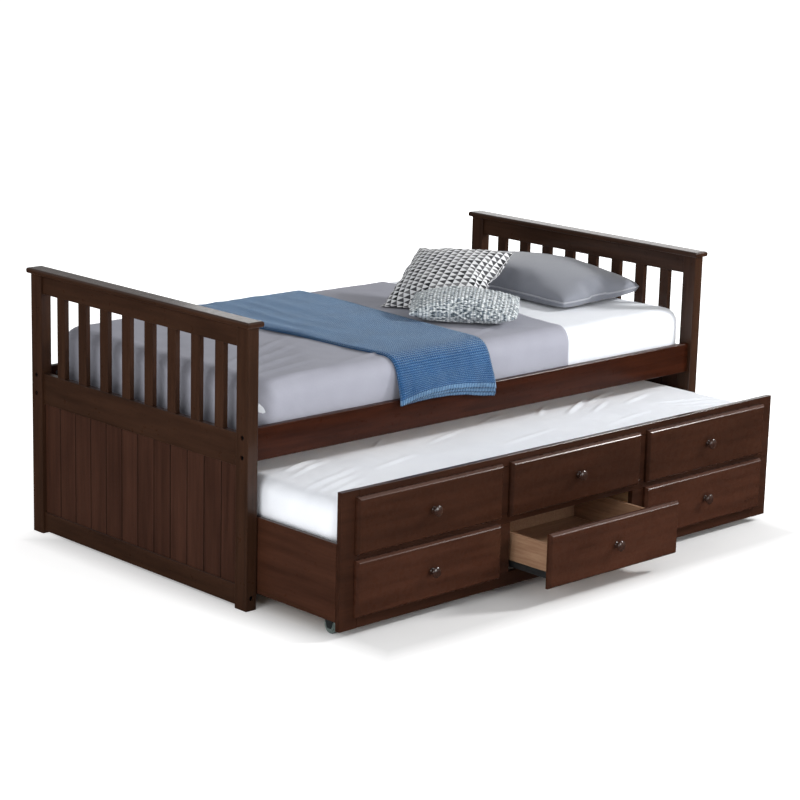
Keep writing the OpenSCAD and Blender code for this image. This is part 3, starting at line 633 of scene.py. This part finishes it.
# Long folds where the fitted sheet pulls across the trundle's mattress: where each starts and ends
# in bed millimetres, its half width and its height
trundle_low, trundle_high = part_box("trundle_mattress")
PULLS = [(150, 20, 330, 75, 11, 7), (215, 0, 355, 42, 9, 5.5), (120, -40, 300, 30, 10, 4),
         (560, 60, 660, 130, 9, 4.5), (700, -10, 950, 60, 12, 4), (1010, 60, 1190, 120, 10, 5),
         (1250, 20, 1380, 110, 10, 6), (1330, -30, 1560, 95, 12, 7), (1420, -60, 1600, 30, 10, 5),
         (1500, 40, 1720, 120, 11, 6), (1600, -40, 1800, 20, 12, 5), (380, -120, 620, -70, 14, 3),
         (900, -160, 1200, -110, 14, 3), (1350, -190, 1620, -150, 14, 3)]
pulls = [(*at(x1, y1, 0).xy, *at(x2, y2, 0).xy, width * 0.9 * MM, height * 1.1 * MM)
         for x1, y1, x2, y2, width, height in PULLS]
for end, way in ((trundle_low.x, 1), (trundle_high.x, -1)):
    for row in range(4):
        y = trundle_low.y + 0.05 + 0.05 * row
        pulls.append((end, y - 0.03, end + way * (0.22 + 0.03 * row), y + 0.07, 0.012, 0.004))
trundle_pad = mattress("trundle_mattress_sheeted", "trundle_mattress", 0.008, 0.06, 0.04,
                       lambda points: 0.003 * drift(points, (2.4, 3, 0), 5), pulls, 23)
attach(trundle_pad, "trundle")


# ---------------------------------------------------------------- coverlet

COVERLET_T = 0.005
grey = cotton("grey_coverlet_cotton", rgb(162, 163, 174), rgb(146, 147, 158), 0.0014, 0.05)
cover_low, cover_high = (np.array(v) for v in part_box("coverlet"))
pad_low, pad_high = (np.array(v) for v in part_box("bed_mattress"))


def cover_end(points):
    """How far the coverlet's head end lies beyond its plain box, at each point."""
    middle = (pad_low[1] + pad_high[1]) / 2
    bow = 0.028 * (1 - ((points[:, 1] - middle) / 0.5) ** 2) - 0.01 * drift(points, (0, 5, 5), 8)
    return bow + 0.06 * (points[:, 1] - pad_low[1])


def coverlet():
    """A light coverlet tucked in at the foot and both sides, its head end left free."""
    ease = 0.0012
    around_low = pad_low - ease
    around_high = pad_high + ease
    low = around_low * (1, 1, 0) + (0, 0, cover_low[2])
    high = np.array([cover_high[0], around_high[1], around_high[2]])
    points, faces, flat = box_grid(low, high, COVERLET_STEP, [(0, 0), (1, 0), (1, 1), (2, 1)])
    corner_high = np.array([pad_high[0] + 1, around_high[1], around_high[2]])
    points, out = rounded(points, around_low - (0, 0, 1), corner_high, 0.062, 0.047)
    side = 1 - np.abs(out[:, 2])
    # the cut edge bows a little towards the head on the top
    points[:, 0] += smooth_step(points[:, 0], cover_high[0] - 0.4, cover_high[0]) * cover_end(points)
    folds = []
    for row in range(5):
        x, y = pad_low[0] + 0.02, pad_low[1] + 0.02
        folds.append((x, y + 0.05 * row, x + 0.28 + 0.05 * row, y + 0.02 + 0.1 * row, 0.014, 0.0045))
    for x, y, length, lean in ((0.35, 0.06, 0.3, 0.1), (0.95, 0.10, 0.3, 0.25), (1.05, 0.3, 0.2, -0.2),
                               (1.0, 0.62, 0.25, 0.2), (0.3, 0.75, 0.22, -0.3)):
        x, y = pad_low[0] + x, pad_low[1] + y
        folds.append((x, y, x + length, y + length * lean, 0.014, 0.0045))
    skirt = drift(points, (16, 16, 3), 31) * side * 0.0030
    soft = drift(points, (6, 6, 4), 33) * 0.0030 + drift(points, (20, 20, 9), 34) * 0.0016
    foot_pull = np.exp(-((points[:, 0] - pad_low[0]) / 0.22) ** 2) * drift(
        points @ np.array([[1, 0, 0], [0, 1, 0], [0.9, 0, 1]]), (40, 9, 14), 35) * side * 0.004
    rise = 0.0022 + np.maximum(skirt + soft + foot_pull, -0.0018)
    rise += np.maximum(creases(points, folds), -0.001) * np.clip(out[:, 2], 0, 1)
    points = points + out * rise[:, None]
    points[:, 2] += bed_relief(points) * smooth_step(points[:, 2], pad_low[2], pad_high[2] - 0.01)
    made = new_piece("coverlet_cloth", points, faces, grey, flat)
    wall = made.modifiers.new("wall", "SOLIDIFY")
    wall.thickness, wall.offset = COVERLET_T, 1.0
    baked(made)
    return made


coverlet_piece = coverlet()
# a line of stitches holds the hem of the coverlet's head end: up one side, over, and down the other
HEM_WIDTH = 0.016
TOP_POINTS, SIDE_POINTS = 90, 14
over = np.linspace(pad_low[1], pad_high[1], TOP_POINTS)
down = np.linspace(pad_high[2], pad_low[2] + 0.10, SIDE_POINTS)
guide = np.concatenate([np.column_stack([np.full(SIDE_POINTS, pad_low[1] - 0.005), down[::-1]]),
                        np.column_stack([over, np.full(TOP_POINTS, pad_high[2] + 0.01)]),
                        np.column_stack([np.full(SIDE_POINTS, pad_high[1] + 0.005), down])])
guide = np.column_stack([np.full(len(guide), cover_high[0] - HEM_WIDTH), guide])
guide[:, 0] += cover_end(guide)
cover_tree = BVHTree.FromObject(coverlet_piece, bpy.context.evaluated_depsgraph_get())
hem_line = []
for guess in guide:
    near, outward, _, _ = cover_tree.find_nearest(Vector(guess) + Vector((0, 0, 0.02)))
    hem_line.append(near + outward * 0.0002)
hem_stitches = grown("coverlet_hem_stitches", hem_line, stitches_along,
                     cotton("hem_thread", rgb(188, 190, 200), rgb(170, 172, 182), 0.0009),
                     {"Pitch": 0.0065, "Radius": 0.0005},
                     [(k, k + 1) for k in range(len(hem_line) - 1)])
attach(hem_stitches, "bed")
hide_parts("coverlet")
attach(coverlet_piece, "bed")


# ---------------------------------------------------------------- folded throw

LAYER = 0.0036
throw_low, throw_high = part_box("throw")
rail_low, rail_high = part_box("front_side_rail")
back_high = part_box("rear_side_rail")[1]
FRONT_HEM = 0.020
# the front hem's height above the side rail's top, in millimetres, for the top and bottom layers
HEM_U = [0.0, 0.16, 0.32, 0.52, 0.69, 0.87, 1.0]
HEM_TOP = [-17, -3, 4, 5, 0, -10, -18]
HEM_UNDER = [-17, -13, -12, -15, -22, -36, -42]
# soft ridges along the throw: where across it, how much each drifts, its width and its height
FOLDS = [(0.02, 0.10, 0.035, 0.006), (0.16, 0.14, 0.04, 0.006), (0.30, 0.16, 0.035, 0.005),
         (0.44, 0.20, 0.05, 0.004), (0.70, 0.10, 0.05, 0.003)]
THROW_REAR = 0.19
HEM_RIB = 0.017


def walked(corners, step):
    """Points every step along a line through corners, and how far along each is."""
    corners = np.array(corners, float)
    runs = np.linalg.norm(np.diff(corners, axis=0), axis=1)
    marks = np.concatenate([[0], np.cumsum(runs)])
    count = int(marks[-1] / step)
    far = np.linspace(0, marks[-1], count + 1)
    line = np.column_stack([np.interp(far, marks, corners[:, i]) for i in range(corners.shape[1])])
    for _ in range(14):
        line[1:-1] = (line[:-2] + line[1:-1] * 2 + line[2:]) / 4
    return line, far


def throw():
    """A throw folded lengthways in three, laid over the coverlet and both side rails."""
    top = float(cover_high[2]) + 0.0015
    front, rear = float(pad_low[1]) - 0.009, float(pad_high[1]) + 0.009
    out_front, out_rear = rail_low.y - 0.003, back_high.y + 0.003
    rail_top = rail_high.z
    path = [(out_front, rail_top - FRONT_HEM), (out_front, rail_top - 0.006),
            (out_front + 0.004, rail_top + 0.010), (front - 0.004, top - 0.055),
            (front - 0.001, top - 0.034), (front + 0.012, top - 0.008), (front + 0.034, top),
            (rear - 0.034, top), (rear - 0.012, top - 0.008), (rear + 0.001, top - 0.034),
            (out_rear - 0.004, rail_top + 0.010), (out_rear, rail_top - 0.006),
            (out_rear, rail_top - THROW_REAR)]
    line, far = walked(path, 0.009)
    ahead = np.gradient(line, axis=0)
    ahead /= np.linalg.norm(ahead, axis=1, keepdims=True)
    normal = np.column_stack([-ahead[:, 1], ahead[:, 0]])
    length = far[-1]
    # across the folded cloth: three layers joined by two half-round folds
    left, right = throw_low.x, throw_high.x
    radius = LAYER / 2 + 0.0006
    cross = []
    width = right - left
    flats = int(width / 0.009)
    for layer in range(3):
        sway = np.linspace(0, 1, flats + 1)
        xs = left + 0.006 * layer + (width - 0.006 * layer) * (sway if layer % 2 == 0 else 1 - sway)
        if layer == 1:
            xs = xs - 0.003
        cross += [(x, LAYER * layer * 1.05) for x in xs]
        if layer < 2:
            edge_x, way = xs[-1], 1 if layer % 2 == 0 else -1
            for turn in (45, 90, 135):
                a = math.radians(turn)
                cross.append((edge_x + way * radius * math.sin(a),
                              LAYER * 1.05 * (layer + 0.5 - 0.5 * math.cos(a))))
    cross = np.array(cross)
    girth = np.concatenate([[0], np.cumsum(np.linalg.norm(np.diff(cross, axis=0), axis=1))])
    u = (cross[:, 0] - left) / width
    rows = []
    for i, (place, out) in enumerate(zip(line, normal)):
        share = far[i] / length
        hang = 1 - smooth_step(far[i], 0.0, 0.10)
        left_side = 0.028 - 0.043 * smooth_step(share, 0.08, 0.5)
        right_side = -0.007 + 0.048 * smooth_step(share, 0.1, 0.75)
        x = cross[:, 0] + left_side * (1 - u) + right_side * u + 0.004 * np.sin(share * 21 + u * 2)
        # the hem lifts between its corners, and the under layers slip out below it at one side
        under = 1 - cross[:, 1] / cross[:, 1].max()
        upper_hem, under_hem = np.interp(u, HEM_U, HEM_TOP), np.interp(u, HEM_U, HEM_UNDER)
        lift = hang * (FRONT_HEM + (upper_hem * (1 - under) + under_hem * under) * MM)
        y = place[0] + out[0] * (cross[:, 1] + 0.0022) - hang * 0.010 * np.abs(u - 0.45)
        z = place[1] + out[1] * (cross[:, 1] + 0.0022) + lift
        rows.append(np.column_stack([x, y, z]))
    grid = np.array(rows)
    points = grid.reshape(-1, 3)
    ripple = drift(points, (9, 5, 5), 41) * 0.0030 + drift(points, (24, 9, 9), 42) * 0.0012
    on_top = np.repeat(normal[:, 1] > 0.5, len(cross))
    along, across = np.repeat(far / length, len(cross)), np.tile(u, len(line))
    ridged = smooth_step(along, 0.22, 0.45) * (1 - smooth_step(along, 0.72, 0.84))
    for start, lean, wide, tall in FOLDS:
        ripple = ripple + tall * np.exp(-((across - start - lean * along) / wide) ** 2) * ridged
    ripple *= 1 - 0.7 * smooth_step(along, 0.66, 0.8)
    points[:, 2] += np.where(on_top, np.maximum(ripple, -0.0005) + bed_relief(points), 0)
    # below the top, ripples stand outwards: towards -Y at the drawer side and +Y at the wall side
    outward = np.sign(np.repeat(line[:, 0] < 0.1, len(cross)) - 0.5)
    points[:, 1] -= np.where(~on_top, np.abs(ripple) * outward, 0)
    wide, long = len(cross), len(line)
    i, j = np.meshgrid(np.arange(long - 1), np.arange(wide - 1), indexing="ij")
    a = (i * wide + j).ravel()
    faces = np.stack([a, a + 1, a + wide + 1, a + wide], axis=1)
    flat = np.column_stack([np.tile(girth, long), np.repeat(far, wide)])[faces].reshape(-1, 2)
    made = new_piece("throw_cloth", points, faces, blue_knit(HEM_RIB, length - HEM_RIB), flat)
    wall = made.modifiers.new("wall", "SOLIDIFY")
    wall.thickness, wall.offset = LAYER * 0.86, 0.0
    baked(made)
    return made, float(girth[-1]), float(length)


throw_piece, throw_flat_w, throw_flat_l = throw()
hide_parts("throw")
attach(throw_piece, "bed")


# ---------------------------------------------------------------- cushions

# how far a cushion's sides pull in between its corners, as a share of its half size
SIDE_PINCH = 0.03


def sewn_bag(width, depth, cells, loft, seed, crown=0.5):
    """Two equal cloths joined round their edge, as points, faces and flat places; Z is its thickness."""
    nx, ny = cells
    u, v = np.meshgrid(np.linspace(-1, 1, nx + 1), np.linspace(-1, 1, ny + 1), indexing="ij")
    x = depth / 2 * u * (1 - SIDE_PINCH * v ** 2)
    y = width / 2 * v * (1 - SIDE_PINCH * u ** 2)
    dome = loft * np.clip((1 - u ** 2) * (1 - v ** 2), 0, 1) ** crown
    upper = np.stack([x, y, dome], axis=-1).reshape(-1, 3)
    jitter = drift(upper * (1, 1, 0), 16, seed) * 0.003
    rim = ((np.abs(u) > 0.999) | (np.abs(v) > 0.999)).ravel()
    upper[:, 2] += np.where(rim, 0, jitter)
    inside = np.flatnonzero(~rim)
    lower_index = np.arange(len(upper))
    lower_index[inside] = len(upper) + np.arange(len(inside))
    lower = upper[inside] * (1, 1, -1)
    points = np.concatenate([upper, lower])
    i, j = np.meshgrid(np.arange(nx), np.arange(ny), indexing="ij")
    a = (i * (ny + 1) + j).ravel()
    top = np.stack([a, a + ny + 1, a + ny + 2, a + 1], axis=1)
    faces = np.concatenate([top, lower_index[top[:, ::-1]]])
    plan = np.stack([depth / 2 * u, width / 2 * v], axis=-1).reshape(-1, 2)
    flat = np.concatenate([plan[top], plan[top[:, ::-1]]]).reshape(-1, 2)
    ring = [*range(ny), *(k * (ny + 1) + ny for k in range(nx)),
            *(nx * (ny + 1) + k for k in range(ny, 0, -1)), *(k * (ny + 1) for k in range(nx, 0, -1))]
    return points, faces, flat, ring


def blow_up(made, pressure, frames, bend, stiffness, cap):
    """Runs the bag as cloth with air in it, and keeps how it ends."""
    before = points_of(made)
    cloth = made.modifiers.new("air", "CLOTH")
    how = cloth.settings
    how.quality = 6
    how.mass = 0.25
    how.use_pressure = True
    how.uniform_pressure_force = pressure
    how.tension_stiffness = how.compression_stiffness = stiffness
    how.shear_stiffness = stiffness / 3
    how.bending_stiffness = bend
    how.effector_weights.gravity = 0.0
    how.air_damping = 3.0
    cloth.collision_settings.use_collision = False
    cloth.point_cache.frame_start, cloth.point_cache.frame_end = 1, frames
    scene = bpy.context.scene
    for step in range(1, frames + 1):
        scene.frame_set(step)
        bpy.context.view_layer.update()
    baked(made)
    scene.frame_set(1)
    moved = points_of(made) - before
    far = np.linalg.norm(moved, axis=1, keepdims=True)
    put_points(made, before + moved * np.minimum(1, cap / np.maximum(far, 1e-9)))


def fit_to(points, size):
    """Scales points about their middle to a size along each axis."""
    low, high = points.min(0), points.max(0)
    return (points - (low + high) / 2) * np.array(size) / (high - low)


def sharpen(made):
    smooth = made.modifiers.new("round", "SUBSURF")
    smooth.levels = smooth.render_levels = 1
    return baked(made)


def turned(points, centre, angles):
    """Turns points by angles in degrees about X, Y, then Z, and moves them to a centre."""
    turn = np.array(Euler([math.radians(a) for a in angles], "XYZ").to_matrix())
    return points @ turn.T + np.array(centre)


def settled(points, floor, give=0.012):
    """Squeezes what would sink below the floor heights back up above them."""
    under = points[:, 2] - floor
    lifted = np.where(under < give, give * np.exp((under - give) / give * 0.9), under)
    points = points.copy()
    points[:, 2] = floor + np.maximum(lifted, 0.0008)
    return points


def support(points):
    """The height of the bedding below each point."""
    top = np.full(len(points), pad_high[2] + 0.002)
    covered = points[:, 0] < cover_high[0] + 0.03
    top = np.where(covered, cover_high[2] + 0.004, top)
    thrown = (points[:, 0] > throw_low.x - 0.02) & (points[:, 0] < throw_high.x + 0.02)
    return np.where(thrown, cover_high[2] + 0.016, top) + bed_relief(points)


def bag_cushion(name, node, size, bag, cells, place, angles, material, seed,
                pressure=5.0, cap=0.06, detail=None, piping=None, frames=22, bend=0.35,
                stiffness=22.0, sit=1.0, crown=0.5, ease=0, edging=None):
    """A stuffed cushion: a sewn bag blown up, turned into place and settled on the bedding."""
    points, faces, flat, ring = sewn_bag(bag[1], bag[0], cells, size[2] * 0.3, seed, crown)
    made = new_piece(name, points, faces, material, flat)
    blow_up(made, pressure, frames, bend, stiffness, cap)
    if ease:
        soft = made.modifiers.new("ease", "SMOOTH")
        soft.factor, soft.iterations = 0.5, ease
        baked(made)
    plump = fit_to(points_of(made), size)
    half = size[2] / 2
    plump[:, 2] = np.where(plump[:, 2] < 0, -sit * half * (np.abs(plump[:, 2]) / half) ** sit ** 1.5,
                           plump[:, 2])
    put_points(made, plump)
    seam = turned(points_of(made)[ring], place, angles)
    sharpen(made)
    if detail:
        put_points(made, points_of(made) + normals_of(made) * detail(made)[:, None])
    points = turned(points_of(made), place, angles)
    put_points(made, settled(points, support(points)))
    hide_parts(node)
    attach(made, "bed")
    if piping:
        seam = settled(seam, support(seam))
        edges = [(k, (k + 1) % len(seam)) for k in range(len(seam))]
        cord = grown(name + "_piping", seam, tube_along, edging, {"Radius": piping}, edges)
        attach(cord, "bed")
    return made


slate = cotton("slate_pillow_cotton", rgb(132, 135, 144), rgb(116, 119, 128), 0.0012, 0.35, 0.8)
# the pillow's piping is coloured lighter than its cloth: a painted highlight along the seam
bag_cushion("pillow_slate", "pillow", (0.405, 0.67, 0.165), (0.43, 0.69), (44, 70),
            at(1795, 585, 706), (0, -2, 1.5), slate, 51, piping=0.0032, bend=6.0,
            pressure=3.0, stiffness=7.0, sit=0.45, crown=0.34, ease=14, frames=16,
            edging=cotton("slate_piping_cotton", rgb(168, 170, 178), rgb(146, 148, 156), 0.0012))

PRINT_W = 0.42
bag_cushion("triangle_cushion_printed", "triangle_cushion", (0.37, 0.37, 0.125), (0.42, 0.42), (50, 50),
            at(1322, 538, 757), (-4, -29, 20), triangle_print(19, 16, PRINT_W), 61)

RIB = 0.0125


def ribs(made):
    """Raised knitted ribs that follow the cushion's depth."""
    loops = np.empty(len(made.data.loops), int)
    made.data.loops.foreach_get("vertex_index", loops)
    flat = np.empty(len(loops) * 2)
    made.data.uv_layers["flat"].data.foreach_get("uv", flat)
    place = np.zeros((len(made.data.vertices), 2))
    place[loops] = flat.reshape(-1, 2)
    crown = np.abs(np.sin(np.pi * place[:, 1] / RIB)) ** 0.6
    return crown * 0.0028 + 0.0012 * np.sin(place[:, 0] * 180) * np.sin(place[:, 1] * 90)


bag_cushion("knit_cushion_ribbed", "knit_cushion", (0.21, 0.355, 0.102), (0.235, 0.39), (54, 88),
            at(1200, 322, 724), (0, -8, 41), chunky_knit(RIB), 71,
            detail=ribs)


# ---------------------------------------------------------------- screws

SLAT_W = 0.068
BED_SLATS, TRUNDLE_SLATS = 13, 11
SCREW_INSET = 0.009


def slat_screws(name, node, count, body):
    """Two screws at each end of every slat."""
    low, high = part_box(node)
    pitch = (high.x - low.x - SLAT_W) / (count - 1)
    spots = [(low.x + SLAT_W * share + i * pitch, y, high.z + 0.0003) for i in range(count)
             for share in (0.28, 0.72) for y in (low.y + SCREW_INSET, high.y - SCREW_INSET)]
    made = grown(name, spots, screw_heads, finishes["zinc"], {"Radius": 0.0042, "Height": 0.0016})
    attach(made, body)


slat_screws("bed_slat_screws", "bed_slats", BED_SLATS, "bed")
slat_screws("trundle_slat_screws", "trundle_slats", TRUNDLE_SLATS, "trundle")


# ---------------------------------------------------------------- floor, light and camera

def paper(level):
    """A neutral grey."""
    return level, level, level, 1.0


FLOOR_HALF = 40.0
# half the ground that the bed and its trundle cover at rest, and how far its middle lies towards the
# front: where the floor's glow is cut to paint shade
SHADE_HALF_X, SHADE_HALF_Y, SHADE_FORWARD = 1.0, 0.75, 0.1
floor_paint = Paint("floor_pale", Emission_Strength=1.0)
floor = new_piece("floor", [(x * FLOOR_HALF, y * FLOOR_HALF, 0)
                            for x, y in ((-1, -1), (1, -1), (1, 1), (-1, 1))],
                  [(0, 1, 2, 3)], floor_paint.material, smooth=False)
# the floor glows a little, less beside the bed and not at all under it, which paints a soft shadow round
# and under the bed where it stands at rest; the patch stays put when the trundle moves
floor_x, floor_y = floor_paint.parts(floor_paint.place)
beside = floor_paint.math("MAXIMUM", floor_paint.math("ABSOLUTE", floor_x) - SHADE_HALF_X,
                          floor_paint.math("ABSOLUTE", floor_y + SHADE_FORWARD) - SHADE_HALF_Y)
near_glow = floor_paint.mix(floor_paint.band(beside, -0.08, 0.12), paper(0), paper(0.58))
glow = floor_paint.mix(floor_paint.band(beside, 0.1, 2.0), near_glow, paper(0.75))
grain = floor_paint.noise(floor_paint.place, 3.0)
floor_paint.finish(floor_paint.mix(grain, paper(0.83), paper(0.87)), 0.9, Emission_Color=glow)
floor.visible_glossy = False

world = bpy.data.worlds.new("studio")
bpy.context.scene.world = world
world.use_nodes = True
# the sky is bright and the room below the floor's edge dark, so upright lacquer stays deep
sky = Graph(world.node_tree)
rise = sky.node("ShaderNodeSeparateXYZ", inputs={"Vector": sky.node("ShaderNodeTexCoord")}, out=2)
above = sky.node("ShaderNodeMapRange", inputs={
    "Value": rise, "From Min": -0.02, "From Max": 0.03, "To Min": 0.02, "To Max": 0.42})
backdrop = world.node_tree.nodes["Background"]
backdrop.inputs["Color"].default_value = (1, 1, 1, 1)
world.node_tree.links.new(above.socket, backdrop.inputs["Strength"])


def soft_box(name, place, aim, size, power):
    """A square studio light at place, facing aim."""
    light = bpy.data.lights.new(name, "AREA")
    light.size, light.energy = size, power
    holder = bpy.data.objects.new(name, light)
    holder.location = place
    holder.rotation_euler = (Vector(aim) - Vector(place)).to_track_quat("-Z", "Y").to_euler()
    bpy.context.scene.collection.objects.link(holder)


BED_MIDDLE = (0, 0, 0.4)
soft_box("key_light", (4.2, -2.9, 3.3), BED_MIDDLE, 0.9, 230)
soft_box("foot_light", (-5.0, -1.5, 2.0), BED_MIDDLE, 2.5, 98)
soft_box("back_panel", (5.0, 4.4, 2.0), (0, 0, 0.6), 4.0, 60)
soft_box("front_light", (0.5, -6.0, 1.8), BED_MIDDLE, 2.6, 120)

# The camera: where it stands, how it is turned, and its field of view
EYE = at(-4240.6, -5059.6, 2234.8)
HEADING, TILT, ROLL = (math.radians(a) for a in (43.763, 13.497, 1.462))
FOCAL_LENGTH = 106.01
SENSOR = 36.0
camera = bpy.data.cameras.new("camera")
camera.lens, camera.sensor_width = FOCAL_LENGTH, SENSOR
camera.clip_start, camera.clip_end = 0.1, 200.0
eye = bpy.data.objects.new("camera", camera)
eye.matrix_world = (Matrix.Translation(EYE) @ Matrix.Rotation(-HEADING, 4, "Z")
                    @ Matrix.Rotation(math.pi / 2 - TILT, 4, "X") @ Matrix.Rotation(ROLL, 4, "Z"))
bpy.context.scene.collection.objects.link(eye)
bpy.context.scene.camera = eye
bpy.context.scene.view_settings.view_transform = "Standard"
